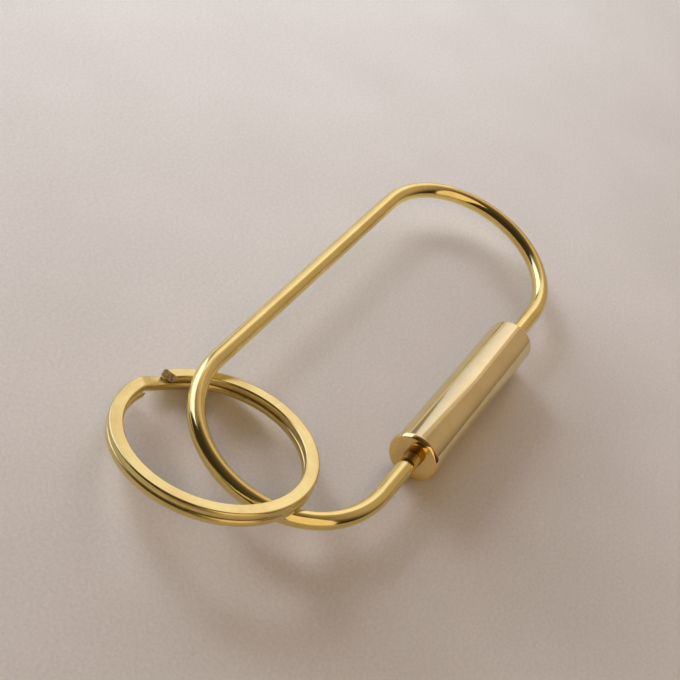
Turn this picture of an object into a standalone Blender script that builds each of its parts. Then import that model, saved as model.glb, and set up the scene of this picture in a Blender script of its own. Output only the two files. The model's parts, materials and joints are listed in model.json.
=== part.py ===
"""Brass key loop: a bent rod closed by a screw barrel, with a split ring threaded on its end bend.

Metres, +Z up. X runs along the loop and Y across it, with the barrel on the -Y side.
The loop lies as it rests: on its barrel and, at the far corner, on the rim of the split ring.
"""
import math

import bmesh
import bpy
from mathutils import Matrix, Vector

MM = 0.001

# Rod and loop, measured outside
ROD_DIAMETER = 2.5 * MM
LOOP_LENGTH = 80.5 * MM
LOOP_WIDTH = 31.1 * MM

# Screw thread on the rod's end
THREAD_PITCH = 0.45 * MM
THREAD_DEPTH = 0.26 * MM
THREAD_ENGAGED = 4.2 * MM
THREAD_EXPOSED = 1.5 * MM
RUNOUT_LENGTH = 0.3 * MM

# Barrel: sleeve, end cap and the stop collar inside
BARREL_DIAMETER = 7.1 * MM
BARREL_LENGTH = 32.3 * MM
BARREL_FROM_BEND = 8.8 * MM
SLEEVE_BORE = 5.0 * MM
SLEEVE_END_WALL = 2.0 * MM
SLEEVE_EDGE_ROUND = 0.3 * MM
CAP_FLANGE = 1.1 * MM
CAP_SPIGOT = 3.4 * MM
CAP_EDGE_BEVEL = 0.12 * MM
HOLE_COUNTERSINK = 0.15 * MM
COLLAR_LENGTH = 2.5 * MM
COLLAR_BEVEL = 0.25 * MM
BEND_STANDOFF = 0.3 * MM

# Split ring: one flat strip wound twice round
RING_DIAMETER = 28.0 * MM
RING_STRIP_WIDTH = 2.0 * MM
RING_STRIP_THICKNESS = 0.9 * MM
RING_TURN_GAP = 0.42 * MM
RING_EDGE_BEVEL = 0.2 * MM
JOGGLE_LENGTH = 3.0 * MM
JOGGLE_END_GAP = 1.4 * MM

# How the ring lies on the end bend: how far it reaches in over the bend, on what bearing, and its roll
RING_OVERLAP = 13.2 * MM
RING_BEARING = math.radians(151.85)
RING_ROLL = math.radians(-3.0)
SPLIT_FROM_CROSSING = math.radians(33.5)

# Clearances
ROD_HOLE_CLEARANCE = 0.2 * MM
BORE_CLEARANCE = 0.2 * MM
PRESS_SEAT_GAP = 0.15 * MM
SEAM_GAP = 0.15 * MM
RING_FAR_GAP = 0.5 * MM
RING_NEAR_GAP = 0.3 * MM
COLLAR_STOP_GAP = 0.3 * MM

# Mesh counts
ROD_SIDES = 16
BEND_STEPS = 32
ROWS_PER_PITCH = 4
BARREL_SIDES = 40
RING_STEPS_PER_TURN = 64
JOGGLE_STEPS = 8

# Worked out from the sizes above
ROD_RADIUS = ROD_DIAMETER / 2
BEND_RADIUS = (LOOP_WIDTH - ROD_DIAMETER) / 2
HALF_STRAIGHT = (LOOP_LENGTH - LOOP_WIDTH) / 2
CAP_FACE_X = BARREL_FROM_BEND - HALF_STRAIGHT
SHOULDER_X = CAP_FACE_X - THREAD_EXPOSED
STUD_TIP_X = CAP_FACE_X + THREAD_ENGAGED
SLEEVE_START_X = CAP_FACE_X + CAP_FLANGE + SEAM_GAP
BARREL_TOP_X = CAP_FACE_X + BARREL_LENGTH
OPEN_TRAVEL = HALF_STRAIGHT - BARREL_TOP_X - BEND_STANDOFF
COLLAR_START_X = CAP_FACE_X + CAP_FLANGE + CAP_SPIGOT + OPEN_TRAVEL + COLLAR_STOP_GAP
RING_OUTER = RING_DIAMETER / 2
RING_INNER = RING_OUTER - RING_STRIP_WIDTH
RING_MIDDLE = (RING_OUTER + RING_INNER) / 2
TURN_RISE = RING_STRIP_THICKNESS + RING_TURN_GAP
RING_HALF_HEIGHT = (TURN_RISE + RING_STRIP_THICKNESS) / 2
ROD_HOLE_RADIUS = ROD_RADIUS + ROD_HOLE_CLEARANCE
RING_DISTANCE = BEND_RADIUS + RING_MIDDLE - RING_OVERLAP


def clear_scene():
    """Remove every object that is already in the scene."""
    for old in list(bpy.data.objects):
        bpy.data.objects.remove(old, do_unlink=True)


def brass(name, colour, roughness):
    """One Principled brass for one sub-part."""
    material = bpy.data.materials.new(name)
    material.use_nodes = True
    shader = material.node_tree.nodes["Principled BSDF"]
    shader.inputs["Base Color"].default_value = (*colour, 1.0)
    shader.inputs["Metallic"].default_value = 1.0
    shader.inputs["Roughness"].default_value = roughness
    return material


def mesh_object(name, rows, closed_rows, material, parent, matrix):
    """Skin rows of points, each row a closed loop, into one closed body.

    With closed_rows the last row joins the first, as on a turned piece with a hole.
    Without it the first and last rows are filled, as on a rod or a strip.
    """
    mesh = bpy.data.meshes.new(name)
    work = bmesh.new()
    loops = [[work.verts.new(point) for point in row] for row in rows]
    pairs = list(zip(loops, loops[1:]))
    if closed_rows:
        pairs.append((loops[-1], loops[0]))
    for first, second in pairs:
        count = len(first)
        for index in range(count):
            after = (index + 1) % count
            work.faces.new((first[index], first[after], second[after], second[index]))
    if not closed_rows:
        work.faces.new(list(reversed(loops[0])))
        work.faces.new(loops[-1])
    bmesh.ops.recalc_face_normals(work, faces=work.faces)
    work.to_mesh(mesh)
    work.free()
    mesh.shade_smooth()
    mesh.set_sharp_from_angle(angle=math.radians(35))
    mesh.materials.append(material)
    piece = bpy.data.objects.new(name, mesh)
    bpy.context.scene.collection.objects.link(piece)
    piece.parent = parent
    piece.matrix_local = matrix
    return piece


def guide(name, parent=None):
    """An empty that carries other pieces."""
    empty = bpy.data.objects.new(name, None)
    bpy.context.scene.collection.objects.link(empty)
    empty.parent = parent
    return empty


def bend_point(angle, side):
    """A point of the rod's centreline on the end bend at side -1 or +1."""
    return Vector((side * HALF_STRAIGHT + BEND_RADIUS * math.cos(angle), BEND_RADIUS * math.sin(angle), 0.0))


def rod_row(centre, outward, radius_at):
    """One cross-section of the rod. radius_at gives the radius at each angle round it."""
    row = []
    for index in range(ROD_SIDES):
        angle = 2 * math.pi * index / ROD_SIDES
        spoke = outward * math.cos(angle) + Vector((0, 0, math.sin(angle)))
        row.append(centre + spoke * radius_at(angle))
    return row


def thread_radius(distance, angle):
    """The right-hand thread's radius at a distance from the stud's tip and an angle round it."""
    phase = (distance / THREAD_PITCH - angle / (2 * math.pi)) % 1.0
    crest = ROD_RADIUS - THREAD_DEPTH * (1 - abs(1 - 2 * phase))
    lead_in = ROD_RADIUS - THREAD_DEPTH + min(1.0, distance / THREAD_PITCH) * THREAD_DEPTH
    return min(crest, lead_in)


def rod_rows():
    """Rows from the stud's tip, round both bends, to the end that the barrel hides."""
    across = Vector((0, -1, 0))
    side_y = -BEND_RADIUS
    rows = []
    thread_length = THREAD_ENGAGED + THREAD_EXPOSED - RUNOUT_LENGTH
    count = round(thread_length / THREAD_PITCH * ROWS_PER_PITCH)
    for index in range(count + 1):
        distance = thread_length * index / count
        centre = Vector((STUD_TIP_X - distance, side_y, 0))
        rows.append(rod_row(centre, across, lambda angle: thread_radius(distance, angle)))
    root = ROD_RADIUS - THREAD_DEPTH
    chamfer = min(THREAD_DEPTH, RUNOUT_LENGTH) / 2
    for centre_x, radius in (
        (SHOULDER_X + RUNOUT_LENGTH * 0.8, root),
        (SHOULDER_X + chamfer, root),
        (SHOULDER_X - chamfer, ROD_RADIUS),
    ):
        rows.append(rod_row(Vector((centre_x, side_y, 0)), across, lambda angle: radius))
    for side, start in ((-1, 1.5 * math.pi), (1, 0.5 * math.pi)):
        for index in range(BEND_STEPS + 1):
            angle = start - math.pi * index / BEND_STEPS
            outward = Vector((math.cos(angle), math.sin(angle), 0))
            rows.append(rod_row(bend_point(angle, side), outward, lambda _: ROD_RADIUS))
    end_bevel = ROD_RADIUS / 6
    rows.append(rod_row(Vector((COLLAR_START_X + end_bevel, side_y, 0)), across, lambda _: ROD_RADIUS))
    rows.append(rod_row(Vector((COLLAR_START_X, side_y, 0)), across, lambda _: ROD_RADIUS - end_bevel))
    return rows


def make_loop_rod(parent):
    """The bent rod, with the thread cut on one end."""
    material = brass("polished_brass", (0.72, 0.49, 0.17), 0.16)
    return mesh_object("loop_rod", rod_rows(), False, material, parent, Matrix.Identity(4))


def turned_rows(profile):
    """Rows of a piece turned about X. The profile is a closed run of (distance along, radius)."""
    rows = []
    for index in range(BARREL_SIDES):
        angle = 2 * math.pi * index / BARREL_SIDES
        rows.append([Vector((along, radius * math.cos(angle), radius * math.sin(angle))) for along, radius in profile])
    return rows


def on_barrel_axis(along):
    """Place of a piece whose origin is on the barrel's axis."""
    return Matrix.Translation((along, -BEND_RADIUS, 0))


def make_sleeve(parent):
    """The barrel's body: bored from the cap's end, with a wall round the rod at its far end."""
    outer = BARREL_DIAMETER / 2
    bore = SLEEVE_BORE / 2
    start = SLEEVE_START_X - CAP_FACE_X
    wall = BARREL_LENGTH - SLEEVE_END_WALL
    rounding = min(SLEEVE_EDGE_ROUND, (outer - ROD_HOLE_RADIUS) / 2, SLEEVE_END_WALL / 2)
    soft = rounding * (1 - math.sqrt(0.5))
    profile = [
        (start, bore),
        (start, outer - CAP_EDGE_BEVEL),
        (start + CAP_EDGE_BEVEL, outer),
        (BARREL_LENGTH - rounding, outer),
        (BARREL_LENGTH - soft, outer - soft),
        (BARREL_LENGTH, outer - rounding),
        (BARREL_LENGTH, ROD_HOLE_RADIUS + HOLE_COUNTERSINK),
        (BARREL_LENGTH - HOLE_COUNTERSINK, ROD_HOLE_RADIUS),
        (wall, ROD_HOLE_RADIUS),
        (wall, bore),
    ]
    material = brass("satin_brass", (0.78, 0.60, 0.32), 0.32)
    return mesh_object("barrel_sleeve", turned_rows(profile), True, material, parent, on_barrel_axis(CAP_FACE_X))


def make_end_cap(parent):
    """The polished, threaded cap: a flange as wide as the sleeve and a spigot seated in its bore."""
    outer = BARREL_DIAMETER / 2
    spigot = SLEEVE_BORE / 2 - PRESS_SEAT_GAP
    length = CAP_FLANGE + CAP_SPIGOT
    profile = [
        (HOLE_COUNTERSINK, ROD_HOLE_RADIUS),
        (0, ROD_HOLE_RADIUS + HOLE_COUNTERSINK),
        (0, outer - CAP_EDGE_BEVEL),
        (CAP_EDGE_BEVEL, outer),
        (CAP_FLANGE - CAP_EDGE_BEVEL, outer),
        (CAP_FLANGE, outer - CAP_EDGE_BEVEL),
        (CAP_FLANGE, spigot),
        (length - CAP_EDGE_BEVEL, spigot),
        (length, spigot - CAP_EDGE_BEVEL),
        (length, ROD_HOLE_RADIUS),
    ]
    material = brass("mirror_brass", (0.74, 0.52, 0.20), 0.10)
    return mesh_object("end_cap", turned_rows(profile), True, material, parent, on_barrel_axis(CAP_FACE_X))


def make_stop_collar(parent):
    """The collar pressed on the rod's hidden end: it keeps the barrel on the rod."""
    inner = ROD_RADIUS + PRESS_SEAT_GAP
    outer = SLEEVE_BORE / 2 - BORE_CLEARANCE
    profile = [
        (0, inner),
        (0, outer - COLLAR_BEVEL),
        (COLLAR_BEVEL, outer),
        (COLLAR_LENGTH - COLLAR_BEVEL, outer),
        (COLLAR_LENGTH, outer - COLLAR_BEVEL),
        (COLLAR_LENGTH, inner),
    ]
    material = brass("turned_brass", (0.70, 0.50, 0.20), 0.30)
    return mesh_object("stop_collar", turned_rows(profile), True, material, parent, on_barrel_axis(COLLAR_START_X))


def crossing_angles():
    """Where the ring crosses the end bend, as angles round the bend's centre: the far one, then the near one."""
    squares = BEND_RADIUS ** 2 + RING_DISTANCE ** 2 - RING_MIDDLE ** 2
    half = math.acos(squares / (2 * BEND_RADIUS * RING_DISTANCE))
    return RING_BEARING - half, RING_BEARING + half


def ring_from_rod(heights):
    """The ring's frame over the loop when its middle is at these heights where it crosses the rod.

    Its X axis points from its centre at the far crossing, and its Z axis is its own axis.
    """
    far_angle, near_angle = crossing_angles()
    far = bend_point(far_angle, -1) + Vector((0, 0, heights[0]))
    near = bend_point(near_angle, -1) + Vector((0, 0, heights[1]))
    chord = far - near
    along = chord.normalized()
    level = Vector((-along.y, along.x, 0)).normalized()
    level = Matrix.Rotation(-RING_ROLL, 3, along) @ level
    reach = math.sqrt(RING_MIDDLE ** 2 - (chord.length / 2) ** 2)
    centre = (far + near) / 2 + level * reach
    axis = along.cross(level).normalized()
    spoke = (far - centre).normalized()
    turn = Matrix((spoke, axis.cross(spoke), axis)).transposed()
    return Matrix.Translation(centre) @ turn.to_4x4()


def rod_gap(frame, point):
    """Clear distance between the ring's section and the rod, at one point of the rod's centreline."""
    local = frame.inverted() @ point
    radius = math.hypot(local.x, local.y)
    beyond = max(radius - RING_OUTER, RING_INNER - radius)
    above = abs(local.z) - RING_HALF_HEIGHT
    if beyond < 0 and above < 0:
        return max(beyond, above) - ROD_RADIUS
    return math.hypot(max(beyond, 0), max(above, 0)) - ROD_RADIUS


def smallest_gap(frame, side_y):
    """The smallest gap over the half of the end bend, and of its straight side, that lies at side_y."""
    quarter = math.pi / 2
    points = [bend_point(math.pi - side_y * quarter * index / 90, -1) for index in range(91)]
    points += [Vector((-HALF_STRAIGHT + RING_DIAMETER * index / 60, side_y * BEND_RADIUS, 0)) for index in range(61)]
    return min(rod_gap(frame, point) for point in points)


def ring_rest_frame():
    """Lay the ring under the rod at the far crossing and over it at the near one, just clear of both."""
    lift = ROD_RADIUS + RING_HALF_HEIGHT
    heights = [-lift, lift]
    for _ in range(40):
        frame = ring_from_rod(heights)
        heights[0] -= (RING_FAR_GAP - smallest_gap(frame, 1)) * 0.8
        heights[1] += (RING_NEAR_GAP - smallest_gap(frame, -1)) * 0.8
    return ring_from_rod(heights)


def strip_section():
    """The strip's section as (outward, up) points round its middle, with bevelled corners."""
    half_width = RING_STRIP_WIDTH / 2
    half_height = RING_STRIP_THICKNESS / 2
    bevel = min(RING_EDGE_BEVEL, half_height / 2)
    corners = []
    for sign_out, sign_up in ((1, -1), (1, 1), (-1, 1), (-1, -1)):
        wide = (sign_out * half_width, sign_up * (half_height - bevel))
        tall = (sign_out * (half_width - bevel), sign_up * half_height)
        corners += [tall, wide] if sign_out * sign_up < 0 else [wide, tall]
    return corners


def strip_stations():
    """Angles along the strip with its height there: a lower turn, the joggle, then the upper turn."""
    step = 2 * math.pi / RING_STEPS_PER_TURN
    half_joggle = JOGGLE_LENGTH / RING_MIDDLE / 2
    end_gap = JOGGLE_END_GAP / RING_MIDDLE
    middle = SPLIT_FROM_CROSSING + 2 * math.pi
    lower_start = SPLIT_FROM_CROSSING + half_joggle + end_gap
    upper_end = middle + 2 * math.pi - half_joggle - end_gap
    stations = []
    for start, end, height in (
        (lower_start, middle - half_joggle, -TURN_RISE / 2),
        (middle + half_joggle, upper_end, TURN_RISE / 2),
    ):
        count = math.ceil((end - start) / step)
        stations.append([(start + (end - start) * index / count, height) for index in range(count + 1)])
    joggle = []
    for index in range(1, JOGGLE_STEPS):
        share = index / JOGGLE_STEPS
        height = TURN_RISE / 2 * -math.cos(math.pi * share)
        joggle.append((middle - half_joggle + 2 * half_joggle * share, height))
    return stations[0] + joggle + stations[1]


def strip_rows():
    """The strip's sections, in the ring's own frame."""
    section = strip_section()
    rows = []
    for angle, height in strip_stations():
        spoke = Vector((math.cos(angle), math.sin(angle), 0))
        rows.append([spoke * (RING_MIDDLE + out) + Vector((0, 0, height + up)) for out, up in section])
    return rows


def print_turn_gap(rows):
    """Measure the least gap between the ring's two turns and print it."""
    quarter_turn = RING_STEPS_PER_TURN // 4
    least = RING_DIAMETER
    for first, row in enumerate(rows):
        for other in rows[first + quarter_turn:]:
            if (row[0] - other[0]).length < RING_STRIP_WIDTH:
                least = min(least, min((a - b).length for a in row for b in other))
    print(f"least gap between the ring's turns: {least / MM:.2f} mm")


def make_split_ring(parent):
    """The split ring, with its origin in the middle of the strip where it passes under the rod."""
    frame = ring_rest_frame()
    rows = strip_rows()
    print_turn_gap(rows)
    pivot = Vector((RING_MIDDLE, 0, 0))
    moved = [[point - pivot for point in row] for row in rows]
    material = brass("ring_brass", (0.76, 0.56, 0.25), 0.22)
    place = frame @ Matrix.Translation(pivot)
    return mesh_object("split_ring", moved, False, material, parent, place)


def lean_on_ring(ring):
    """The loop's lean about X at which the barrel and the ring's rim touch the floor together."""
    bpy.context.view_layer.update()
    points = [ring.matrix_local @ vertex.co for vertex in ring.data.vertices]
    low, high = -math.pi / 6, math.pi / 6
    for _ in range(50):
        lean = (low + high) / 2
        barrel = -BEND_RADIUS * math.sin(lean) - BARREL_DIAMETER / 2
        rim = min(point.y * math.sin(lean) + point.z * math.cos(lean) for point in points)
        if barrel > rim:
            low = lean
        else:
            high = lean
    return lean


def stand_on_floor(loop, pieces):
    """Move the whole part so that its box stands on Z = 0 with the origin under its middle."""
    bpy.context.view_layer.update()
    points = [piece.matrix_world @ vertex.co for piece in pieces for vertex in piece.data.vertices]
    lows = [min(point[axis] for point in points) for axis in range(3)]
    highs = [max(point[axis] for point in points) for axis in range(3)]
    loop.location = (-(lows[0] + highs[0]) / 2, -(lows[1] + highs[1]) / 2, -lows[2])
    bpy.context.view_layer.update()


def build():
    """Build every piece on one frame, lean that frame as the loop rests and stand it on the floor."""
    clear_scene()
    loop = guide("loop_frame")
    pieces = [
        make_loop_rod(loop),
        make_stop_collar(loop),
        make_end_cap(loop),
        make_sleeve(loop),
        make_split_ring(loop),
    ]
    loop.rotation_euler.x = lean_on_ring(pieces[-1])
    stand_on_floor(loop, pieces)


build()
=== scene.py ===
"""Looks of a brass key loop that lies on a pale studio floor.

A bent rod is closed by a screw barrel, and a flat split ring is threaded on its end bend. Sizes are
in metres. Each piece is built in the frame of the loop, X along it and Y across it with the barrel
on the -Y side, or in the frame of the ring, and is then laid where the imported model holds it.
"""

import json
import logging
import math
from collections.abc import Sequence
from dataclasses import dataclass
from enum import Enum
from typing import Any

import bmesh
import bpy
import numpy as np
from bpy.types import ID, Material, Mesh, NodeOutputs, NodeSocket, NodeTree, Object
from mathutils import Matrix, Vector

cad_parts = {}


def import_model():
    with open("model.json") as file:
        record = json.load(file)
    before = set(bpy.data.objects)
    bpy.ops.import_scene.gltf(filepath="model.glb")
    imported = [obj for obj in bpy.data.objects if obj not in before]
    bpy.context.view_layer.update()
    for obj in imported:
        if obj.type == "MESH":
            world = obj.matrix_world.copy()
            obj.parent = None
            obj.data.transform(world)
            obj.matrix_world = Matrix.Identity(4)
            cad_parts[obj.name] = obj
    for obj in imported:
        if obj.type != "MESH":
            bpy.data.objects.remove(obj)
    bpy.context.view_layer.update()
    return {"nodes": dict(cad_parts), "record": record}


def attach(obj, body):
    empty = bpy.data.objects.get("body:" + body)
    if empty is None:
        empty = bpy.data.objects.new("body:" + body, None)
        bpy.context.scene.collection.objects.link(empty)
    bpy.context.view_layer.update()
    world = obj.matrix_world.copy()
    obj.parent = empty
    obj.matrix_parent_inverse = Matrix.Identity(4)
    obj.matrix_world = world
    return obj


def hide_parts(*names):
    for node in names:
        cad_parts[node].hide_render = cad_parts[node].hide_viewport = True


MM = 0.001
FULL_TURN = 2 * math.pi

# The attribute that holds how far along a rod or strip a point is, and where across it.
GRAIN = "grain"
# Faces that meet at more than this keep a sharp edge between them.
SHARP_EDGE = math.radians(32)
# Points closer than this are one, and points this near a strip's end are on its end face.
WELD = 1e-7
AT_END = 1e-6

# How many times longer than wide a drawn mark and a turned mark are.
DRAWN_MARK = 120
TURNED_MARK = 60
# The noise values between which brass goes from clean to dull, and from smooth to rough.
DULL_RANGE = (0.42, 0.72)
ROUGH_RANGE = (0.1, 0.45)

Pair = tuple[float, float]

log = logging.getLogger("key_loop")


def linear(colour: str) -> tuple[float, ...]:
    """Turn an sRGB hex colour into linear values.

    Args:
        colour: Six hex digits after a hash, such as "#E9C484".

    Returns:
        Linear red, green and blue, and an alpha of 1.
    """
    parts = [int(colour[start : start + 2], 16) / 255 for start in (1, 3, 5)]
    values = [part / 12.92 if part <= 0.04045 else ((part + 0.055) / 1.055) ** 2.4 for part in parts]
    return (*values, 1.0)


def add_node(
    tree: NodeTree, kind: str, inputs: dict[str | int, Any] | None = None, **settings: Any
) -> NodeOutputs:
    """Add one node with its settings and inputs.

    Args:
        tree: The node tree that gets the node.
        kind: The node's type name.
        inputs: Socket name or index to its value, or to the output that feeds it.
        **settings: Properties of the node itself.

    Returns:
        The new node's outputs.
    """
    node = tree.nodes.new(kind)
    for key, value in settings.items():
        setattr(node, key, value)
    for key, value in (inputs or {}).items():
        if isinstance(value, NodeSocket):
            tree.links.new(value, node.inputs[key])
        else:
            node.inputs[key].default_value = value
    return node.outputs


class Grain(Enum):
    """The direction in which a piece's fine working marks run."""

    DRAWN = "along the rod or strip"
    TURNED = "round the barrel"
    FACED = "in circles on the end face"


@dataclass(frozen=True)
class BrassFinish:
    """A brass surface: patches of clean and dull metal, working marks, and waves from polishing."""

    name: str
    # sRGB hex of the clean metal and of the dull, and the share of the dull that shows at most.
    # In the thread's and the torn ends' finishes these colours also hold painted shade and painted glints.
    tint: str
    stain: str
    stained: float
    # Roughness of the clean metal, and how much rougher the dull patches and marks are.
    roughness: float
    rougher: float
    # The working marks: the way they run, the distance between them, and their height.
    grain: Grain
    mark_spacing: float
    mark_height: float
    # The shallow waves that hand polishing leaves: their size and height.
    wave_length: float
    wave_height: float
    # Size of the dull patches.
    patch_size: float = 6.25 * MM

    def marks_vector(self, tree: NodeTree, place: NodeSocket, axis: Vector) -> NodeSocket:
        """Coordinates whose unit is one mark across the grain and far longer along it.

        Args:
            tree: The material's node tree.
            place: The output that gives Object coordinates.
            axis: A point on the barrel's axis, about which faced marks circle.

        Returns:
            The vector output to feed a noise texture.
        """
        fine = 1 / self.mark_spacing
        shift = (0.0, 0.0, 0.0)
        if self.grain is Grain.DRAWN:
            place = add_node(tree, "ShaderNodeAttribute", attribute_name=GRAIN)["Vector"]
            scale = (fine / DRAWN_MARK, fine, fine)
        elif self.grain is Grain.TURNED:
            scale = (fine, fine / TURNED_MARK, fine / TURNED_MARK)
        else:
            scale = (0.0, fine, fine)
            shift = (0.0, -axis.y * fine, -axis.z * fine)
        mapping = {"Vector": place, "Location": shift, "Scale": scale}
        vector = add_node(tree, "ShaderNodeMapping", mapping)["Vector"]
        if self.grain is not Grain.FACED:
            return vector
        radius = add_node(tree, "ShaderNodeVectorMath", {0: vector}, operation="LENGTH")["Value"]
        return add_node(tree, "ShaderNodeCombineXYZ", {"X": radius})["Vector"]

    def material(self, axis: Vector) -> Material:
        """Build the node tree of this finish.

        Args:
            axis: A point on the barrel's axis.

        Returns:
            The material.
        """
        material = bpy.data.materials.new(self.name)
        material.use_nodes = True
        tree = material.node_tree
        shader = tree.nodes["Principled BSDF"]
        shader.inputs["Metallic"].default_value = 1.0
        place = add_node(tree, "ShaderNodeTexCoord")["Object"]
        patches, marks, waves = (
            add_node(
                tree,
                "ShaderNodeTexNoise",
                {"Vector": vector, "Scale": scale, "Detail": detail, "Roughness": roughness},
            )["Fac"]
            for vector, scale, detail, roughness in (
                (place, 1 / self.patch_size, 4.0, 0.6),
                (self.marks_vector(tree, place, axis), 1.0, 2.0, 0.6),
                (place, 1 / self.wave_length, 1.0, 0.5),
            )
        )
        worn = add_node(tree, "ShaderNodeMath", {0: patches, 1: marks}, operation="MULTIPLY")["Value"]
        dull, rough = (
            add_node(
                tree,
                "ShaderNodeMapRange",
                {"Value": value, "From Min": start, "From Max": end, "To Min": least, "To Max": most},
            )["Result"]
            for value, (start, end), least, most in (
                (patches, DULL_RANGE, 0.0, self.stained),
                (worn, ROUGH_RANGE, self.roughness, self.roughness + self.rougher),
            )
        )
        tints = {"Factor": dull, 6: linear(self.tint), 7: linear(self.stain)}
        colour = add_node(tree, "ShaderNodeMix", tints, data_type="RGBA")[2]
        waved = {"Distance": self.wave_height, "Height": waves}
        wavy = add_node(tree, "ShaderNodeBump", waved)["Normal"]
        scored = {"Distance": self.mark_height, "Height": marks, "Normal": wavy}
        marked = add_node(tree, "ShaderNodeBump", scored)["Normal"]
        for socket, source in (("Base Color", colour), ("Roughness", rough), ("Normal", marked)):
            tree.links.new(source, shader.inputs[socket])
        return material


# Cold-drawn brass rod, buffed by hand: warm and bright, with faint lines along it and a slightly wavy
# skin. Real buffing lines lie about 0.02 mm apart, too fine to show, so they are drawn coarser.
BUFFED_ROD = BrassFinish(
    name="buffed_drawn_brass",
    tint="#F0DC8E",
    stain="#D5AF67",
    stained=0.35,
    roughness=0.07,
    rougher=0.10,
    grain=Grain.DRAWN,
    mark_spacing=0.12 * MM,
    mark_height=0.0006 * MM,
    wave_length=3.5 * MM,
    wave_height=0.02 * MM,
)
# The same brass cut by a die: sharp and unpolished. Its darker tint and its strong dark patches are
# painted shade, for the shade in the gap between the shoulder and the cap. The die's own scratches,
# about 0.03 mm apart, are drawn coarser so that they show.
CUT_THREAD_PAINTED_SHADE = BrassFinish(
    name="die_cut_brass_painted_shade",
    tint="#D6B46C",
    stain="#96733C",
    stained=0.7,
    roughness=0.26,
    rougher=0.2,
    grain=Grain.DRAWN,
    mark_spacing=0.10 * MM,
    mark_height=0.001 * MM,
    wave_length=2.0 * MM,
    wave_height=0.0,
)
# Turned brass tube, polished on the lathe: it reflects in clean bands with very fine rings round it.
# The rings follow a polishing feed of about 0.03 mm and are drawn coarser so that they show.
TURNED_SLEEVE = BrassFinish(
    name="lathe_polished_brass",
    tint="#E8D7A2",
    stain="#CFB67C",
    stained=0.25,
    roughness=0.08,
    rougher=0.06,
    grain=Grain.TURNED,
    mark_spacing=0.08 * MM,
    mark_height=0.0003 * MM,
    wave_length=6.0 * MM,
    wave_height=0.004 * MM,
)
# Faced and buffed brass: nearly a mirror, so that the rod shows in it. Its circles, from a facing cut
# of about 0.05 mm, are drawn twice as coarse.
MIRROR_CAP = BrassFinish(
    name="mirror_faced_brass",
    tint="#F1D08A",
    stain="#D9AE66",
    stained=0.15,
    roughness=0.04,
    rougher=0.05,
    grain=Grain.FACED,
    mark_spacing=0.10 * MM,
    mark_height=0.0001 * MM,
    wave_length=6.0 * MM,
    wave_height=0.002 * MM,
)
# Rolled flat brass strip, tumbled smooth: bright faces with faint long lines and soft edges. The
# roll's lines, about 0.04 mm apart, are drawn coarser so that they show.
ROLLED_STRIP = BrassFinish(
    name="rolled_strip_brass",
    tint="#EAD68C",
    stain="#C9A258",
    stained=0.4,
    roughness=0.16,
    rougher=0.14,
    grain=Grain.DRAWN,
    mark_spacing=0.14 * MM,
    mark_height=0.001 * MM,
    wave_length=4.0 * MM,
    wave_height=0.02 * MM,
)
# Brass torn by a shear: dull and coarse, with pits of about 0.1 mm. Its tint, paler than the ring's,
# is painted light for a face that is turned away from the lamps, and its pale specks among darker
# patches are painted glints.
SHEARED_END_PAINTED_LIGHT = BrassFinish(
    name="sheared_brass_painted_light",
    tint="#FFF0B4",
    stain="#C48A44",
    stained=0.9,
    roughness=0.7,
    rougher=0.2,
    grain=Grain.DRAWN,
    mark_spacing=0.1 * MM,
    mark_height=0.02 * MM,
    wave_length=0.3 * MM,
    wave_height=0.12 * MM,
    patch_size=0.35 * MM,
)


@dataclass(frozen=True)
class PlasterFinish:
    """Smooth grey plaster, trowelled by hand: matt, with a fine grain and soft cloudy patches."""

    name: str = "trowelled_plaster"
    # sRGB hex of its darker and of its paler grains and patches.
    dark: str = "#C9C3BB"
    pale: str = "#D7D1CA"
    roughness: float = 0.5
    # The sand's grain, drawn about twice as coarse as it is, so that it shows.
    grain_size: float = 0.5 * MM
    grain_height: float = 0.02 * MM
    # Size of the patches that the trowel leaves, and the share of the grain in the mix of both.
    cloud_size: float = 22 * MM
    grain_share: float = 0.7
    # The noise values that are all dark and all pale.
    contrast: Pair = (0.35, 0.65)

    def material(self) -> Material:
        """Build the node tree of this finish.

        Returns:
            The material.
        """
        material = bpy.data.materials.new(self.name)
        material.use_nodes = True
        tree = material.node_tree
        shader = tree.nodes["Principled BSDF"]
        shader.inputs["Roughness"].default_value = self.roughness
        place = add_node(tree, "ShaderNodeTexCoord")["Object"]
        grain, clouds = (
            add_node(
                tree,
                "ShaderNodeTexNoise",
                {"Vector": place, "Scale": 1 / size, "Detail": detail, "Roughness": roughness},
            )["Fac"]
            for size, detail, roughness in ((self.grain_size, 3.0, 0.7), (self.cloud_size, 2.0, 0.5))
        )
        mixed = add_node(tree, "ShaderNodeMix", {"Factor": self.grain_share, 2: clouds, 3: grain})[0]
        ends = {"Value": mixed, "From Min": self.contrast[0], "From Max": self.contrast[1]}
        shade = add_node(tree, "ShaderNodeMapRange", ends)["Result"]
        tints = {"Factor": shade, 6: linear(self.dark), 7: linear(self.pale)}
        colour = add_node(tree, "ShaderNodeMix", tints, data_type="RGBA")[2]
        gritty = {"Distance": self.grain_height, "Height": grain}
        bumps = add_node(tree, "ShaderNodeBump", gritty)["Normal"]
        tree.links.new(colour, shader.inputs["Base Color"])
        tree.links.new(bumps, shader.inputs["Normal"])
        return material


def linked(name: str, data: ID) -> Object:
    """Give data an object in the scene.

    Args:
        name: The object's name.
        data: Its mesh, curve, light or camera.

    Returns:
        The object.
    """
    made = bpy.data.objects.new(name, data)
    bpy.context.scene.collection.objects.link(made)
    return made


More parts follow.
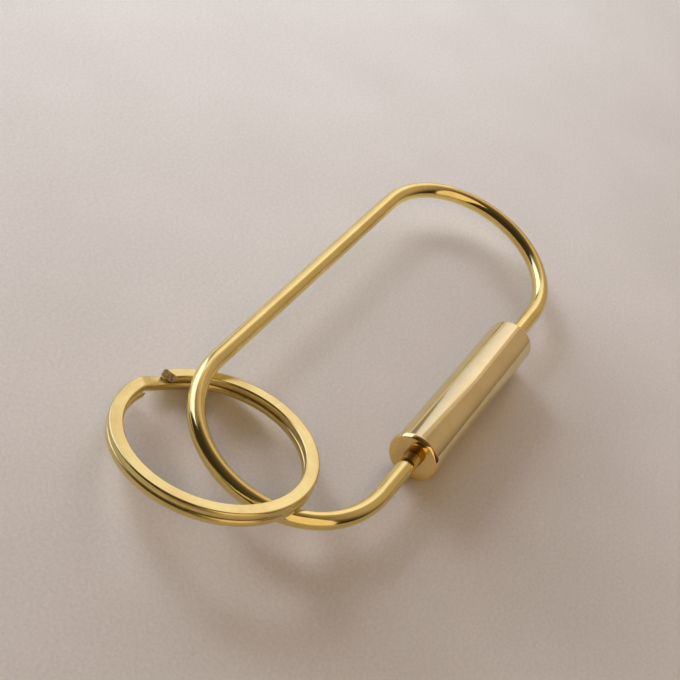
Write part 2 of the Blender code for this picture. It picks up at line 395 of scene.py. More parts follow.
def shown(name: str, mesh: Mesh, place: Matrix, *materials: Material) -> Object:
    """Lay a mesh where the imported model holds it, shade it and give it an object at the origin.

    Args:
        name: The piece's name.
        mesh: Its mesh, in the frame of the loop or the ring.
        place: Where that frame lies.
        materials: Its finishes, in the order of the faces' material numbers.

    Returns:
        The piece.
    """
    mesh.transform(place)
    mesh.shade_smooth()
    mesh.set_sharp_from_angle(angle=SHARP_EDGE)
    # Clearing the slots sets each face back to the first, so the numbers are kept and put back.
    numbers = [face.material_index for face in mesh.polygons]
    mesh.materials.clear()
    for material in materials:
        mesh.materials.append(material)
    mesh.polygons.foreach_set("material_index", numbers)
    return linked(name, mesh)


def turned(name: str, profile: Sequence[Pair], sides: int) -> Mesh:
    """Turn a closed profile about X.

    Args:
        name: The mesh's name.
        profile: (distance along, radius) round the profile.
        sides: Number of steps round.

    Returns:
        The turned mesh, with its faces outwards.
    """
    work = bmesh.new()
    cuts = []
    for index in range(sides):
        turn = FULL_TURN * index / sides
        cuts.append([work.verts.new((x, out * math.cos(turn), out * math.sin(turn))) for x, out in profile])
    for first, second in zip(cuts, cuts[1:] + cuts[:1], strict=True):
        for here, corner in enumerate(first):
            after = (here + 1) % len(profile)
            work.faces.new((corner, first[after], second[after], second[here]))
    bmesh.ops.recalc_face_normals(work, faces=work.faces)
    mesh = bpy.data.meshes.new(name)
    work.to_mesh(mesh)
    work.free()
    return mesh


def rounded(corner: Pair, before: Pair, after: Pair, steps: int) -> list[Pair]:
    """Round a profile's corner with the curve that the corner pulls out between two points.

    Args:
        corner: The sharp corner.
        before: Where the round starts.
        after: Where the round ends.
        steps: Number of steps.

    Returns:
        The points from before to after.
    """
    points = []
    for index in range(steps + 1):
        t = index / steps
        near, pull, far = (1 - t) ** 2, 2 * t * (1 - t), t * t
        x, out = (near * b + pull * c + far * a for b, c, a in zip(before, corner, after, strict=True))
        points.append((x, out))
    return points


class FormingTool:
    """A tool that makes one kind of form: a node tree with named inputs that ends as a plain mesh."""

    def __init__(self, name: str, inputs: dict[str, str]) -> None:
        """Open the tree.

        Args:
            name: The tree's name.
            inputs: Each input's name and the kind of its socket. A "Finish" is added to them.
        """
        self.tree = bpy.data.node_groups.new(name, "GeometryNodeTree")
        sockets = self.tree.interface
        self.keys = {
            label: sockets.new_socket(label, in_out="INPUT", socket_type="NodeSocket" + kind).identifier
            for label, kind in (inputs | {"Finish": "Material"}).items()
        }
        sockets.new_socket("Piece", in_out="OUTPUT", socket_type="NodeSocketGeometry")
        self.given = add_node(self.tree, "NodeGroupInput")

    def end(self, shape: NodeSocket, grain: NodeSocket) -> None:
        """End the tree: store the grain, make the shape real and give it the finish.

        Args:
            shape: The output that gives the shape.
            grain: The output that gives its grain.
        """
        stored = add_node(
            self.tree,
            "GeometryNodeStoreNamedAttribute",
            {"Geometry": shape, "Name": GRAIN, "Value": grain},
            data_type="FLOAT_VECTOR",
            domain="POINT",
        )[0]
        real = add_node(self.tree, "GeometryNodeRealizeInstances", {0: stored})[0]
        dressed = {"Geometry": real, "Material": self.given["Finish"]}
        done = add_node(self.tree, "GeometryNodeSetMaterial", dressed)[0]
        add_node(self.tree, "NodeGroupOutput", {0: done})

    def run(self, source: Object, **inputs: Any) -> Mesh:
        """Run the tool over an object, which it uses up.

        Args:
            source: The object.
            **inputs: The value of each named input.

        Returns:
            The mesh that it makes, with its doubles merged and its faces outwards.
        """
        modifier = source.modifiers.new(self.tree.name, "NODES")
        modifier.node_group = self.tree
        for label, value in inputs.items():
            modifier[self.keys[label]] = value
        graph = bpy.context.evaluated_depsgraph_get()
        mesh = bpy.data.meshes.new_from_object(source.evaluated_get(graph), depsgraph=graph)
        bpy.data.objects.remove(source, do_unlink=True)
        work = bmesh.new()
        work.from_mesh(mesh)
        bmesh.ops.remove_doubles(work, verts=work.verts, dist=WELD)
        bmesh.ops.recalc_face_normals(work, faces=work.faces)
        work.to_mesh(mesh)
        work.free()
        return mesh


class Sweeper(FormingTool):
    """Sweeps a section along a path, as a rod mill or a strip mill does, and records the grain."""

    def __init__(self) -> None:
        """Lay out the nodes: lengths and places are captured, and the section is swept."""
        super().__init__("sweep_section_along_path", {"Path": "Geometry", "Section": "Object"})
        tree = self.tree
        outline = add_node(tree, "GeometryNodeObjectInfo", {"Object": self.given["Section"]})["Geometry"]
        length = add_node(tree, "GeometryNodeSplineParameter")["Length"]
        position = add_node(tree, "GeometryNodeInputPosition")["Position"]
        captured = []
        for curve, value, kind, name in (
            (self.given["Path"], length, "FLOAT", "along"),
            (outline, position, "VECTOR", "across"),
        ):
            # This node has no sockets to link until it is given an item.
            capture = tree.nodes.new("GeometryNodeCaptureAttribute")
            capture.capture_items.new(kind, name)
            tree.links.new(curve, capture.inputs[0])
            tree.links.new(value, capture.inputs[1])
            captured.append(capture.outputs)
        path, section = captured
        radius = add_node(tree, "GeometryNodeInputRadius")["Radius"]
        rails = {"Curve": path[0], "Profile Curve": section[0], "Scale": radius, "Fill Caps": True}
        swept = add_node(tree, "GeometryNodeCurveToMesh", rails)["Mesh"]
        across = add_node(tree, "ShaderNodeSeparateXYZ", {"Vector": section[1]})
        grain = add_node(tree, "ShaderNodeCombineXYZ", {"X": path[1], "Y": across["X"], "Z": across["Y"]})
        self.end(swept, grain["Vector"])

    def sweep(
        self,
        name: str,
        path: Sequence[Vector],
        radii: Sequence[float],
        section: Sequence[Vector],
        material: Material,
    ) -> Mesh:
        """Sweep a section along a path.

        Args:
            name: The piece's name.
            path: Points of the path.
            radii: The section's scale at each point.
            section: Points round the section, in its own XY plane.
            material: The finish.

        Returns:
            The swept mesh, closed at both ends, with its grain attribute.
        """
        drawn = []
        for label, points, scales, closed in (
            (name + "_path", path, radii, False),
            (name + "_section", section, [1.0] * len(section), True),
        ):
            data = bpy.data.curves.new(label, "CURVE")
            data.dimensions = "3D"
            # This keeps the section level by its Z axis.
            data.twist_mode = "Z_UP"
            spline = data.splines.new("POLY")
            spline.points.add(len(points) - 1)
            for point, place, scale in zip(spline.points, points, scales, strict=True):
                point.co = (*place, 1.0)
                point.radius = scale
            spline.use_cyclic_u = closed
            drawn.append(linked(label, data))
        rail, outline = drawn
        mesh = self.run(rail, Section=outline, Finish=material)
        bpy.data.objects.remove(outline, do_unlink=True)
        return mesh


class ThreadDie(FormingTool):
    """Cuts a screw thread: it raises one ridge that winds round a plain stud."""

    sizes = ("Radius", "Depth", "Pitch", "Length", "Neck")
    sides = 48
    # The cosine that winds round the stud is cut off here, which gives flat crests and roots.
    flat = 0.9

    def __init__(self) -> None:
        """Lay out the nodes: a cylinder's points are drawn in to the thread, by height and angle."""
        super().__init__("cut_thread", dict.fromkeys(self.sizes, "Float") | {"Rings": "Int"})
        tree, given = self.tree, self.given
        steps = {"Vertices": self.sides, "Side Segments": given["Rings"]}
        blank = add_node(
            tree, "GeometryNodeMeshCylinder", steps | {"Radius": 1.0, "Depth": given["Length"]}
        )["Mesh"]
        place = add_node(tree, "GeometryNodeInputPosition")["Position"]
        axes = add_node(tree, "ShaderNodeSeparateXYZ", {"Vector": place})
        known = {size: given[size] for size in self.sizes} | {axis: axes[axis] for axis in "XYZ"}
        maths = "ShaderNodeMath"
        clip = {"From Min": -self.flat, "From Max": self.flat, "To Min": 1.0, "To Max": 0.0}
        for name, kind, operation, terms in (
            ("angle", maths, "ARCTAN2", {0: "Y", 1: "X"}),
            ("turns", maths, "DIVIDE", {0: "angle", 1: FULL_TURN}),
            ("climbs", maths, "DIVIDE", {0: "Z", 1: "Pitch"}),
            ("phase", maths, "SUBTRACT", {0: "climbs", 1: "turns"}),
            ("swing", maths, "MULTIPLY", {0: "phase", 1: FULL_TURN}),
            ("wave", maths, "COSINE", {0: "swing"}),
            ("valley", "ShaderNodeMapRange", None, {"Value": "wave"} | clip),
            ("half", maths, "MULTIPLY", {0: "Length", 1: 0.5}),
            ("from_end", maths, "ADD", {0: "Z", 1: "half"}),
            ("past_neck", maths, "GREATER_THAN", {0: "from_end", 1: "Neck"}),
            ("in_neck", maths, "SUBTRACT", {0: 1.0, 1: "past_neck"}),
            ("cut", maths, "MAXIMUM", {0: "valley", 1: "in_neck"}),
            ("loss", maths, "MULTIPLY", {0: "cut", 1: "Depth"}),
            ("out", maths, "SUBTRACT", {0: "Radius", 1: "loss"}),
            ("stretch", "ShaderNodeCombineXYZ", None, {"X": "out", "Y": "out", "Z": 1.0}),
            ("moved", "ShaderNodeVectorMath", "MULTIPLY", {0: place, 1: "stretch"}),
        ):
            inputs = {key: known[term] if isinstance(term, str) else term for key, term in terms.items()}
            settings = {"operation": operation} if operation else {}
            known[name] = add_node(tree, kind, inputs, **settings)[0]
        moved = known["moved"]
        stud = add_node(tree, "GeometryNodeSetPosition", {"Geometry": blank, "Position": moved})
        self.end(stud["Geometry"], moved)


@dataclass(frozen=True)
class Placement:
    """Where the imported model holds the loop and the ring."""

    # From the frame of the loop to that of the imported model.
    loop: Matrix
    # The same from the frame of the ring, whose X axis points at the rod above it.
    ring: Matrix
    # A point on the barrel's axis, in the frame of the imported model.
    axis: Vector

    @classmethod
    def from_record(cls, record: dict, ring_middle: float) -> "Placement":
        """Read the frames from the record's joints and mounts.

        Args:
            record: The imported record.
            ring_middle: Radius of the middle of the ring's strip.

        Returns:
            The placement.
        """
        joints = {joint["name"]: joint for joint in record["behaviour"]["joints"]}
        mounts = {mount["name"]: mount for mount in record["mounts"]}
        barrel = Vector(joints["barrel_twist"]["pos_m"])
        plain = Vector(mounts["plain_rod_side"]["pos_m"])
        barrel_side = Vector((plain.x, barrel.y, barrel.z))
        across = (plain - barrel_side).normalized()
        along = Vector((1, 0, 0))
        loop = cls.frame(along, across, along.cross(across), (plain + barrel_side) / 2)
        tangent = Vector(joints["ring_swing"]["axis"]).normalized()
        up = Vector(mounts["ring_face"]["axis"]).normalized()
        spoke = tangent.cross(up).normalized()
        centre = Vector(joints["ring_swing"]["pos_m"]) - spoke * ring_middle
        return cls(loop, cls.frame(spoke, up.cross(spoke), up, centre), barrel)

    @staticmethod
    def frame(x: Vector, y: Vector, z: Vector, origin: Vector) -> Matrix:
        """A 4x4 matrix from three axes and an origin."""
        return Matrix.Translation(origin) @ Matrix((x, y, z)).transposed().to_4x4()


@dataclass
class LoopRod:
    """The bent rod with its shoulder, and the thread cut on its end."""

    radius: float = 1.25 * MM
    # Radius of its centreline in the bends, and how far the one under the ring stands out from that.
    bend_radius: float = 14.3 * MM
    near_stretch: float = 0.42 * MM
    half_straight: float = 24.7 * MM
    # Where the full rod ends and the thread starts, and the round on the edge there.
    shoulder_x: float = -17.4 * MM
    shoulder_round: float = 0.22 * MM
    # Where the rod's other end is, inside the barrel.
    hidden_x: float = -3.1 * MM
    # The thread: where it ends, its pitch and depth, and the groove between it and the shoulder.
    tip_x: float = -11.7 * MM
    pitch: float = 0.45 * MM
    thread_depth: float = 0.26 * MM
    neck: float = 0.12 * MM
    # Steps round the section, round a bend, over the shoulder's round and along one turn of thread.
    sides: int = 72
    bend_steps: int = 96
    shoulder_steps: int = 6
    rings_per_pitch: int = 10

    @staticmethod
    def straight(start: float, end: float, y: float, steps: int) -> list[Vector]:
        """The points between the ends of a straight stretch, without its ends."""
        return [Vector((start + (end - start) * step / steps, y, 0)) for step in range(1, steps)]

    def bend(self, end: int) -> list[Vector]:
        """Go round one of the half bends.

        Args:
            end: -1 for the near bend, under the ring, and 1 for the far one.

        Returns:
            The points, with those at both ends of the bend.
        """
        reach = self.bend_radius + (self.near_stretch if end == -1 else 0.0)
        points = []
        for step in range(self.bend_steps + 1):
            turn = math.pi * (1 - end / 2 - step / self.bend_steps)
            x = end * self.half_straight + reach * math.cos(turn)
            points.append(Vector((x, self.bend_radius * math.sin(turn), 0)))
        return points

    def path(self) -> tuple[list[Vector], list[float]]:
        """Follow the rod's centreline, from the shoulder round to the hidden end.

        Returns:
            The points, and the section's scale at each.
        """
        side = -self.bend_radius
        edge = self.shoulder_round
        points, radii = [], []
        for step in range(self.shoulder_steps + 1):
            turn = math.pi / 2 * step / self.shoulder_steps
            points.append(Vector((self.shoulder_x - edge * (1 - math.cos(turn)), side, 0)))
            radii.append((self.radius - edge + edge * math.sin(turn)) / self.radius)
        full = self.straight(self.shoulder_x - edge, -self.half_straight, side, steps=15)
        full += self.bend(-1)
        full += self.straight(-self.half_straight, self.half_straight, self.bend_radius, steps=60)
        full += self.bend(1)
        full += self.straight(self.half_straight, self.hidden_x, side, steps=40)
        full.append(Vector((self.hidden_x, side, 0)))
        return points + full, radii + [1.0] * len(full)

    def section(self) -> list[Vector]:
        """Points round the rod's section."""
        turns = [FULL_TURN * index / self.sides for index in range(self.sides)]
        return [Vector((self.radius * math.cos(turn), self.radius * math.sin(turn), 0)) for turn in turns]

    def thread_mesh(self, material: Material) -> Mesh:
        """Cut the threaded stud and set it in front of the shoulder.

        Args:
            material: The finish.

        Returns:
            The stud's mesh, in the frame of the loop. Its root reaches into the rod, past the shoulder.
        """
        length = self.tip_x - self.shoulder_x + self.thread_depth
        mesh = ThreadDie().run(
            linked("stud_blank", bpy.data.meshes.new("stud_blank")),
            Radius=self.radius,
            Depth=self.thread_depth,
            Pitch=self.pitch,
            Length=length,
            Neck=self.neck + self.thread_depth,
            Rings=math.ceil(length / self.pitch * self.rings_per_pitch),
            Finish=material,
        )
        middle = Vector((self.tip_x - length / 2, -self.bend_radius, 0))
        mesh.transform(Matrix.Translation(middle) @ Matrix.Rotation(math.pi / 2, 4, "Y"))
        return mesh

    def build(self, sweeper: Sweeper, placement: Placement) -> list[Object]:
        """Make the rod and its threaded end.

        Args:
            sweeper: What sweeps the rod.
            placement: Where the loop lies.

        Returns:
            The rod and the stud.
        """
        buffed = BUFFED_ROD.material(placement.axis)
        # The thread's finish is darkened as painted shade.
        cut = CUT_THREAD_PAINTED_SHADE.material(placement.axis)
        points, radii = self.path()
        swept = sweeper.sweep("rod", points, radii, self.section(), buffed)
        rod = shown("rod", swept, placement.loop, buffed)
        stud = shown("rod_thread", self.thread_mesh(cut), placement.loop, cut)
        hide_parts("loop_rod")
        for piece in (rod, stud):
            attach(piece, "loop")
        return [rod, stud]


@dataclass
class Barrel:
    """The screw barrel: its sleeve, its mirror-polished cap and the stop collar inside.

    Places along it are measured from face_x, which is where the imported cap's face is.
    """

    # Outside radius of the sleeve and of the cap's rim.
    radius: float = 3.55 * MM
    rim: float = 3.82 * MM
    # Where the barrel starts, and where its axis is, in the frame of the loop.
    face_x: float = -15.9 * MM
    side_y: float = -14.3 * MM
    # Length over all, and thickness of the cap's flange.
    length: float = 32.3 * MM
    flange: float = 1.1 * MM
    # Radius of the sleeve's bore and of the holes for the rod.
    bore: float = 2.5 * MM
    hole: float = 1.31 * MM
    # Thickness of the sleeve's wall at its far end, and length of the cap's spigot.
    wall: float = 2.0 * MM
    spigot: float = 3.4 * MM
    # The sleeve: where its outside starts, next to the rim, its end's round and its fine rounds.
    sleeve_start: float = 0.74 * MM
    end_round: float = 0.28 * MM
    edge: float = 0.09 * MM
    # The cap: where its face is, how wide that is flat, and the (place, radius) towards which the
    # chamfer behind it bulges.
    cap_front: float = -0.12 * MM
    cap_face: float = 3.48 * MM
    crown: Pair = (0.217 * MM, 3.757 * MM)
    # Where the rim starts and ends, and the cap's fine rounds.
    rim_start: float = 0.42 * MM
    rim_end: float = 0.68 * MM
    cap_edge: float = 0.05 * MM
    # Steps round.
    sides: int = 160

    def sleeve_profile(self) -> list[Pair]:
        """Go round the sleeve's wall: start edge, outside, far end with its round, hole and bore.

        Returns:
            (distance along, radius) of each point.
        """
        start, end, fine = self.sleeve_start, self.length, self.edge
        seat = self.flange + 0.06 * MM
        lip = self.radius - 0.07 * MM
        far_wall = end - self.wall
        before_end, below_edge = (end - self.end_round, self.radius), (end, self.radius - self.end_round)
        profile = [(seat, self.bore), (seat, lip), (start, lip)]
        profile += rounded((start, self.radius), (start, lip), (start + fine, self.radius), steps=3)[1:]
        profile += rounded((end, self.radius), before_end, below_edge, steps=6)
        profile += rounded((end, self.hole), (end, self.hole + fine), (end - fine, self.hole), steps=4)
        profile += [(far_wall, self.hole), (far_wall, self.bore)]
        return profile

    def cap_profile(self) -> list[Pair]:
        """Go round the cap: hole, flat face, crowned chamfer out to a rim that stands proud, spigot.

        Returns:
            (distance along, radius) of each point.
        """
        front, face, fine = self.cap_front, self.cap_face, self.cap_edge
        back = self.flange + self.spigot
        seat = self.bore - 0.05 * MM
        under_rim = self.radius - 0.1 * MM
        tip_bevel = 0.1 * MM
        crown_start = (front + 0.08 * MM, face + 0.14 * MM)
        crown_end = (self.rim_start, self.rim - 0.02 * MM)
        below_rim = (self.rim_end, self.rim - fine)
        profile = rounded((front, self.hole), (front + fine, self.hole), (front, self.hole + fine), steps=3)
        profile += [(front, face - fine)]
        profile += rounded((front, face + 0.1 * MM), (front, face), crown_start, steps=4)
        profile += rounded(self.crown, crown_start, crown_end, steps=8)[1:]
        profile += [(self.rim_start + 2 * fine, self.rim)]
        profile += rounded((self.rim_end, self.rim), (self.rim_end - fine, self.rim), below_rim, steps=3)
        profile += [(self.rim_end, under_rim), (self.flange, under_rim), (self.flange, seat)]
        profile += [(back - tip_bevel, seat), (back, seat - tip_bevel), (back, self.hole)]
        return profile

    def build(self, nodes: dict[str, Object], placement: Placement) -> list[Object]:
        """Make the sleeve and the cap, and dress the collar.

        Args:
            nodes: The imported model's nodes.
            placement: Where the loop lies.

        Returns:
            The sleeve and the cap.
        """
        place = placement.loop @ Matrix.Translation((self.face_x, self.side_y, 0))
        polished = TURNED_SLEEVE.material(placement.axis)
        mirror = MIRROR_CAP.material(placement.axis)
        sleeve = shown("sleeve", turned("sleeve", self.sleeve_profile(), self.sides), place, polished)
        cap = shown("cap", turned("cap", self.cap_profile(), self.sides), place, mirror)
        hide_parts("barrel_sleeve")
        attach(sleeve, "barrel")
        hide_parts("end_cap")
        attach(cap, "barrel_cap")
        collar = nodes["stop_collar"]
        collar.data.materials.clear()
        collar.data.materials.append(polished)
        return [sleeve, cap]


@dataclass
class SplitRing:
    """The split ring: one flat strip wound twice round, with a joggle where it changes level.

    Angles are in degrees from the ring's X axis, the way the strip is wound.
    """

    # Outside and inside radius, height of both turns together, and the gap between them.
    outer: float = 14.0 * MM
    inner: float = 12.0 * MM
    height: float = 2.22 * MM
    turn_gap: float = 0.12 * MM
    # Radius of the strip's corners, how far its sides bulge, and where a bulge has its points.
    corner: float = 0.26 * MM
    bulge: float = 0.05 * MM
    bulge_at: tuple[float, ...] = (0.6, 0.3, 0.0, -0.3, -0.6)
    # Where the lower turn starts, and where the upper turn ends, at the middle of the strip.
    start: float = 46.0
    end: float = 720 + 21.0
    # Angle, one turn in, and share of the climb along the joggle's outer edge and along its inner
    # edge, which ends its climb later, so the strip twists.
    outer_climb: tuple[Pair, ...] = ((23, 0), (28, 0.14), (31, 0.3), (34, 0.52), (37, 0.78), (40, 1))
    inner_climb: tuple[Pair, ...] = ((23, 0), (29, 0.1), (34, 0.26), (38, 0.48), (42, 0.78), (45.5, 1))
    # How much further both cuts reach at the outer edge than at the middle, how much further the
    # upper cut reaches at the bottom than at the top, and how much of the strip is dragged along.
    shear_slant: float = 0.45 * MM
    shear_lean: float = 0.52 * MM
    shear_reach: float = 1.5 * MM
    # How far the torn ends' metal stands up and is pushed sideways, and the seed of both.
    torn_along: float = 0.08 * MM
    torn_across: float = 0.02 * MM
    seed: int = 7
    # Steps of one turn, and round a corner of the strip.
    steps_per_turn: int = 240
    corner_steps: int = 6

    @property
    def middle(self) -> float:
        """Radius of the middle of the strip."""
        return (self.outer + self.inner) / 2

    @property
    def half_width(self) -> float:
        """Half the width of the strip."""
        return (self.outer - self.inner) / 2

    @property
    def thickness(self) -> float:
        """Thickness of one turn."""
        return (self.height - self.turn_gap) / 2

    def section(self) -> list[Vector]:
        """Go round the strip's section: flat faces, soft corners and bulging sides.

        Returns:
            The points, across the strip and up.
        """
        corner_x = self.half_width - self.bulge - self.corner
        corner_y = self.thickness / 2 - self.corner
        points = []
        for quarter, (right, up) in enumerate(((1, 1), (-1, 1), (-1, -1), (1, -1))):
            for index in range(self.corner_steps + 1):
                turn = math.pi / 2 * (quarter + index / self.corner_steps)
                x = right * corner_x + self.corner * math.cos(turn)
                points.append(Vector((x, up * corner_y + self.corner * math.sin(turn), 0)))
            if right != up:
                for share in self.bulge_at:
                    x = right * (self.half_width - self.bulge * share * share)
                    points.append(Vector((x, up * share * corner_y, 0)))
        return points

    def level(self, angle: np.ndarray, outward: np.ndarray) -> np.ndarray:
        """Height of the strip's middle.

        Args:
            angle: Angle along the strip, in degrees.
            outward: Distance outwards from the strip's middle.

        Returns:
            The heights.
        """
        turn = angle - 360
        outside = np.interp(turn, *zip(*self.outer_climb, strict=True))
        inside = np.interp(turn, *zip(*self.inner_climb, strict=True))
        share = np.clip(0.5 + outward / (self.outer - self.inner), 0, 1)
        rise = self.thickness + self.turn_gap
        return rise * (inside + (outside - inside) * share - 0.5)

    def tear_ends(self, mesh: Mesh) -> None:
        """Give both sheared ends a torn surface and their own material number.

        Args:
            mesh: The swept strip, still flat.
        """
        work = bmesh.new()
        work.from_mesh(mesh)
        along = work.verts.layers.float_vector[GRAIN]
        # The end faces are the only ones with more than four corners; each gets a hub and spokes.
        poked = bmesh.ops.poke(work, faces=[face for face in work.faces if len(face.verts) > 4])["faces"]
        hubs = {vert for face in poked for vert in face.verts if len(vert.link_edges) > 8}
        spokes = [edge for edge in work.edges if hubs.intersection(edge.verts)]
        bmesh.ops.subdivide_edges(work, edges=spokes, cuts=4, use_grid_fill=True)
        total = max(vert[along].x for vert in work.verts)
        torn = [vert for vert in work.verts if not AT_END <= vert[along].x <= total - AT_END]
        noise = np.random.default_rng(self.seed)
        for vert in torn:
            # Points that the strip's upper and lower faces share stay, which keeps its outline.
            if any(len(face.verts) == 4 and abs(face.normal.z) > 0.5 for face in vert.link_faces):
                continue
            radial = Vector((vert.co.x, vert.co.y, 0)).normalized()
            tangent = Vector((-radial.y, radial.x, 0))
            stands = float(noise.normal(0, self.torn_along))
            vert.co += tangent * stands + radial * float(noise.normal(0, self.torn_across))
        at_ends = set(torn)
        for face in work.faces:
            if at_ends.issuperset(face.verts):
                face.material_index = 1
        work.to_mesh(mesh)
        work.free()

    def wind(self, mesh: Mesh) -> None:
        """Lift the flat strip to its two levels and drag its ends to the slant of the shear.

        Args:
            mesh: The swept strip, with both turns still at one height.
        """
        grain = np.empty(len(mesh.vertices) * 3)
        mesh.attributes[GRAIN].data.foreach_get("vector", grain)
        along = grain.reshape(-1, 3)[:, 0]
        places = np.empty(len(mesh.vertices) * 3)
        mesh.vertices.foreach_get("co", places)
        places = places.reshape(-1, 3)
        from_axis = np.hypot(places[:, 0], places[:, 1])
        outward = from_axis - self.middle
        near_end = np.clip((along - along.max() + self.shear_reach) / self.shear_reach, 0, 1)
        near_start = np.clip(1 - along / self.shear_reach, 0, 1)
        slant = self.shear_slant * outward / self.half_width
        lean = self.shear_lean * (0.5 - places[:, 2] / self.thickness)
        slide = near_end * (slant + lean) + near_start * slant
        tangent = np.stack([-places[:, 1], places[:, 0]], 1) / from_axis[:, None]
        angle = self.start + np.degrees(along / self.middle)
        places[:, 2] += self.level(angle + np.degrees(slide / self.middle), outward)
        places[:, :2] += tangent * slide[:, None]
        mesh.vertices.foreach_set("co", places.ravel())
        mesh.update()

    def build(self, sweeper: Sweeper, placement: Placement) -> Object:
        """Sweep the strip twice round, tear its ends and wind it.

        Args:
            sweeper: What sweeps the strip.
            placement: Where the ring lies.

        Returns:
            The ring.
        """
        rolled = ROLLED_STRIP.material(placement.axis)
        sweep = self.end - self.start
        count = math.ceil(sweep / 360 * self.steps_per_turn)
        turns = [math.radians(self.start + sweep * index / count) for index in range(count + 1)]
        path = [Vector((self.middle * math.cos(turn), self.middle * math.sin(turn), 0)) for turn in turns]
        mesh = sweeper.sweep("ring", path, [1.0] * len(path), self.section(), rolled)
        self.tear_ends(mesh)
        self.wind(mesh)
        # The torn ends' finish is paler and speckled as painted light and painted glints.
        ring = shown("ring", mesh, placement.ring, rolled, SHEARED_END_PAINTED_LIGHT.material(placement.axis))
        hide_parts("split_ring")
        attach(ring, "ring")
        return ring


class Use(Enum):
    """What a lamp is for."""

    REFLECTION = "shows in the polished metal"
    LIGHT = "lights the floor and casts the shadows"


@dataclass(frozen=True)
class SoftBox:
    """A soft box, or a window or wall that acts as one, by where the loop sees it.

    Angles are in degrees.
    """

    name: str
    use: Use
    # Bearing of its middle from +X towards +Y, and how high that is.
    azimuth: float
    elevation: float
    # How wide and how high it looks, as angles.
    width: float
    height: float
    distance: float
    # How bright its face is; 1 is a lit white card.
    brightness: float
    colour: str
    # The point of the floor that it faces.
    aim: Pair = (0.0, 0.0)
    # How far its light spreads; 180 is a bare card.
    beam: float = 180.0

    def hang(self) -> None:
        """Hang the soft box so that it faces its point of the floor."""
        turn, rise = math.radians(self.azimuth), math.radians(self.elevation)
        toward = Vector((math.cos(turn) * math.cos(rise), math.sin(turn) * math.cos(rise), math.sin(rise)))
        data = bpy.data.lights.new(self.name, "AREA")
        data.shape = "RECTANGLE"
        data.size = 2 * self.distance * math.tan(math.radians(self.width / 2))
        data.size_y = 2 * self.distance * math.tan(math.radians(self.height / 2))
        data.energy = math.pi * data.size * data.size_y * self.brightness
        data.color = linear(self.colour)[:3]
        data.spread = math.radians(self.beam)
        lamp = linked(self.name, data)
        lamp.location = toward * self.distance
        facing = lamp.location - Vector((*self.aim, 0.0))
        lamp.rotation_euler = facing.to_track_quat("Z", "Y").to_euler()
        lamp.visible_glossy = self.use is Use.REFLECTION
        lamp.visible_diffuse = self.use is Use.LIGHT
        lamp.visible_camera = False


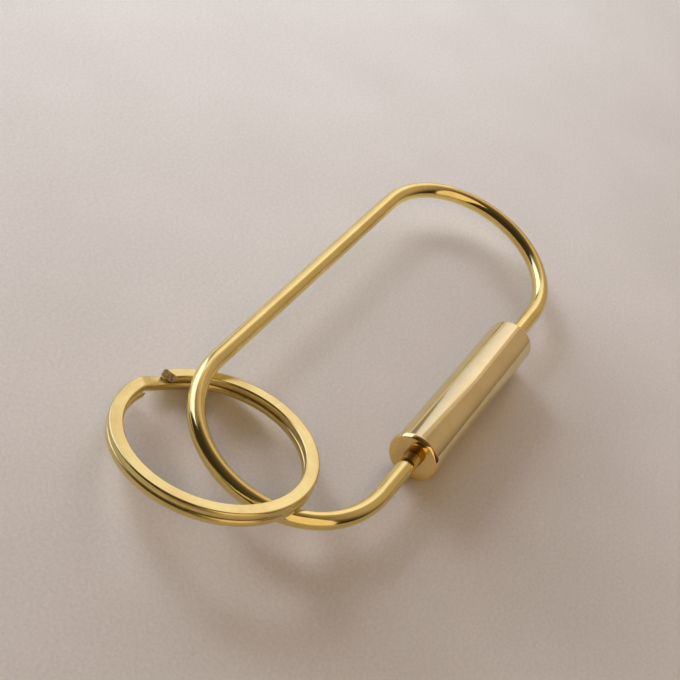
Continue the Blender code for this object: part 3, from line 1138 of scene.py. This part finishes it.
@dataclass
class Studio:
    """The pale floor, the room, the soft lamps and the camera."""

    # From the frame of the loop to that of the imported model.
    loop: Matrix
    # Where the camera stands, its right and its up, in the frame of the loop.
    camera_place: tuple[float, ...] = (-155.26 * MM, -16.10 * MM, 143.67 * MM)
    camera_right: tuple[float, ...] = (0.4943, -0.7713, 0.4009)
    camera_up: tuple[float, ...] = (0.4945, 0.6288, 0.6001)
    # Its focal length and the width of its sensor, in millimetres.
    lens: float = 77.235
    sensor: float = 36.0
    floor_half: float = 3.0
    # The middle of the room's bright side: its bearing in degrees, and how much of the way to it
    # is level and how much upwards.
    bright_side: float = -15.0
    bright_level: Pair = (0.82, 0.57)
    # How closely a direction faces that middle where the brightening starts and ends, and the
    # brightness at both.
    bright_edge: Pair = (0.45, 1.0)
    room_low: float = 0.04
    room_high: float = 0.5
    # The heights between which the walls give way to the ceiling, the share of the walls'
    # brightness that it has, and what it has besides.
    overhead_edge: Pair = (0.75, 0.95)
    overhead_share: float = 0.32
    ceiling: float = 0.06
    room_colour: str = "#FFE2CA"
    # Each by its azimuth, elevation, width, height, distance, brightness and colour.
    boxes: tuple[SoftBox, ...] = (
        SoftBox("window", Use.REFLECTION, 28.5, 28.0, 33.0, 36.0, 1.5, 0.76, "#D3DBFF"),
        SoftBox("window_wall", Use.REFLECTION, 48.0, 29.0, 80.0, 60.0, 1.7, 0.22, "#FFF3E2"),
        SoftBox("sill", Use.REFLECTION, 29.0, 4.5, 56.0, 12.0, 1.6, 0.44, "#FFF0DC"),
        SoftBox("tall_window", Use.REFLECTION, 76.0, 21.0, 43.0, 41.0, 1.4, 2.3, "#BCC9FF"),
        SoftBox("warm_wall", Use.REFLECTION, -117.0, 35.0, 44.0, 68.0, 1.6, 0.95, "#FFE4C8"),
        SoftBox("key", Use.LIGHT, 65.0, 19.0, 38.0, 28.0, 0.42, 0.94, "#ECF2FF", (0.065, 0.07), 44.0),
        SoftBox("low_key", Use.LIGHT, 72.0, 9.0, 44.0, 10.0, 0.35, 31.6, "#E8F2FF"),
        SoftBox("side_key", Use.LIGHT, 20.0, 20.0, 26.0, 26.0, 0.6, 6.0, "#ECF2FF"),
        SoftBox("fill", Use.LIGHT, -168.0, 48.0, 50.0, 30.0, 1.5, 2.1, "#FFDAAB"),
    )

    def floor(self) -> None:
        """Lay a wide floor of plaster."""
        half = self.floor_half
        mesh = bpy.data.meshes.new("floor")
        mesh.from_pydata(
            [(-half, -half, 0), (half, -half, 0), (half, half, 0), (-half, half, 0)], [], [(0, 1, 2, 3)]
        )
        mesh.materials.append(PlasterFinish().material())
        linked("floor", mesh)

    def room(self) -> None:
        """Light the room: dim behind the photographer, brighter ahead and overhead."""
        world = bpy.data.worlds.new("room")
        world.use_nodes = True
        tree = world.node_tree
        background = tree.nodes["Background"]
        way = add_node(tree, "ShaderNodeTexCoord")["Generated"]
        ahead = math.radians(self.bright_side)
        level, upward = self.bright_level
        middle = (level * math.cos(ahead), level * math.sin(ahead), upward)
        side = add_node(tree, "ShaderNodeVectorMath", {0: way, 1: middle}, operation="DOT_PRODUCT")["Value"]
        height = add_node(tree, "ShaderNodeSeparateXYZ", {"Vector": way})["Z"]
        lit, above = (
            add_node(
                tree,
                "ShaderNodeMapRange",
                {"Value": value, "From Min": start, "From Max": end, "To Min": least, "To Max": most},
                interpolation_type="SMOOTHSTEP",
            )["Result"]
            for value, (start, end), least, most in (
                (side, self.bright_edge, self.room_low, self.room_high),
                (height, self.overhead_edge, 0.0, 1.0),
            )
        )
        terms = {0: lit, 1: self.overhead_share, 2: self.ceiling}
        overhead = add_node(tree, "ShaderNodeMath", terms, operation="MULTIPLY_ADD")["Value"]
        total = add_node(tree, "ShaderNodeMix", {"Factor": above, 2: lit, 3: overhead})[0]
        tree.links.new(total, background.inputs["Strength"])
        background.inputs["Color"].default_value = linear(self.room_colour)
        bpy.context.scene.world = world

    def camera(self) -> None:
        """Stand the camera where the photograph was taken."""
        data = bpy.data.cameras.new("camera")
        data.sensor_width = self.sensor
        data.lens = self.lens
        data.clip_start = MM
        turn = self.loop.to_3x3()
        right = (turn @ Vector(self.camera_right)).normalized()
        back = right.cross(turn @ Vector(self.camera_up)).normalized()
        camera = linked("camera", data)
        place = self.loop @ Vector(self.camera_place)
        camera.matrix_world = Placement.frame(right, back.cross(right), back, place)
        bpy.context.scene.camera = camera

    def build(self) -> None:
        """Set up the floor, the room, the lamps, the camera and the plain view."""
        self.floor()
        self.room()
        for box in self.boxes:
            box.hang()
        self.camera()
        bpy.context.scene.view_settings.view_transform = "Standard"


def main() -> None:
    """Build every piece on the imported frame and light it."""
    logging.basicConfig(level=logging.INFO, format="%(name)s: %(message)s")
    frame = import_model()
    ring = SplitRing()
    placement = Placement.from_record(frame["record"], ring.middle)
    sweeper = Sweeper()
    pieces = LoopRod().build(sweeper, placement)
    pieces += Barrel().build(frame["nodes"], placement)
    pieces.append(ring.build(sweeper, placement))
    for piece in pieces:
        log.info("%s: %d faces", piece.name, len(piece.data.polygons))
    Studio(placement.loop).build()


if __name__ == "__main__":
    main()
